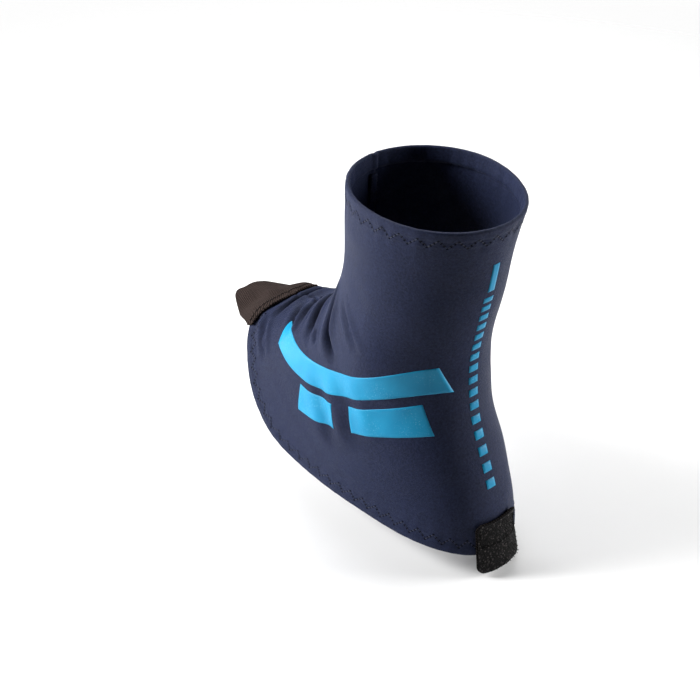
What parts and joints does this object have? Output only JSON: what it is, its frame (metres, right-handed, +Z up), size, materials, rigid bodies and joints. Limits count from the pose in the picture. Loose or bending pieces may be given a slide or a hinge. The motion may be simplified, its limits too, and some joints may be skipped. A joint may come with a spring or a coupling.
{
  "type": "running gaiter",
  "caption": "Stretch-knit trail-running gaiter for the left foot, with elastic hems, a front hook tab, a heel hook tab and plain printed stripes.",
  "frame": {"origin": "centre of the leg opening, in the plane of the top rim", "axes": "+Z up the leg, out of the leg opening; -Y towards the toe; +X towards the outer (lateral) side of the left foot"},
  "size_m": [0.0786, 0.1909, 0.1709],
  "materials": {
    "knit": "matte stretch knit, brushed sheen",
    "elastic": "woven flat elastic",
    "thread": "polyester sewing thread in the fabric's colour",
    "tab_thread": "black polyester sewing thread",
    "print_film": "satin heat-transfer film",
    "front_tape": "woven tape",
    "heel_tape": "woven tape",
    "hooks": "moulded hooks"
  },
  "bodies": {
    "leg": {"leg_fabric": "knit", "top_hem": "knit", "top_elastic": "elastic", "top_hem_zigzag": "thread", "front_seam_leg": "knit", "back_bars_leg": "print_film"},
    "foot": {"ankle_fabric": "knit", "foot_fabric": "knit", "lower_hem": "knit", "lower_elastic": "elastic", "lower_hem_zigzag": "thread", "front_seam_ankle": "knit", "front_seam_foot": "knit", "side_stripe": "print_film", "side_blocks": "print_film", "back_bars_ankle": "print_film", "back_bars_foot": "print_film", "front_tab_sewn_end": "front_tape", "front_tab_stitches": "tab_thread", "heel_tab_sewn_tape": "heel_tape", "heel_tab_sewn_hooks": "hooks", "heel_tab_stitches": "tab_thread"},
    "front_tab": {"front_tab_tape": "front_tape", "front_tab_hooks": "hooks"},
    "heel_tab": {"heel_tab_tape": "heel_tape", "heel_tab_hooks": "hooks"}
  },
  "joints": [
    {"name": "ankle_flex", "type": "hinge", "parent": "leg", "child": "foot", "pos_m": [0, -0.008, -0.097], "axis": [1, 0, 0], "range_deg": [-20, 25], "stiffness_Nm_per_rad": 0.12, "deforming": ["ankle_fabric", "front_seam_ankle", "back_bars_ankle"]},
    {"name": "front_tab_lift", "type": "hinge", "parent": "foot", "child": "front_tab", "pos_m": [0.004, -0.1014, -0.1024], "axis": [-1, 0, 0], "range_deg": [0, 80]},
    {"name": "heel_tab_peel", "type": "hinge", "parent": "foot", "child": "heel_tab", "pos_m": [0.004, 0.0598, -0.1593], "axis": [1, 0, 0], "range_deg": [0, 70]}
  ]
}
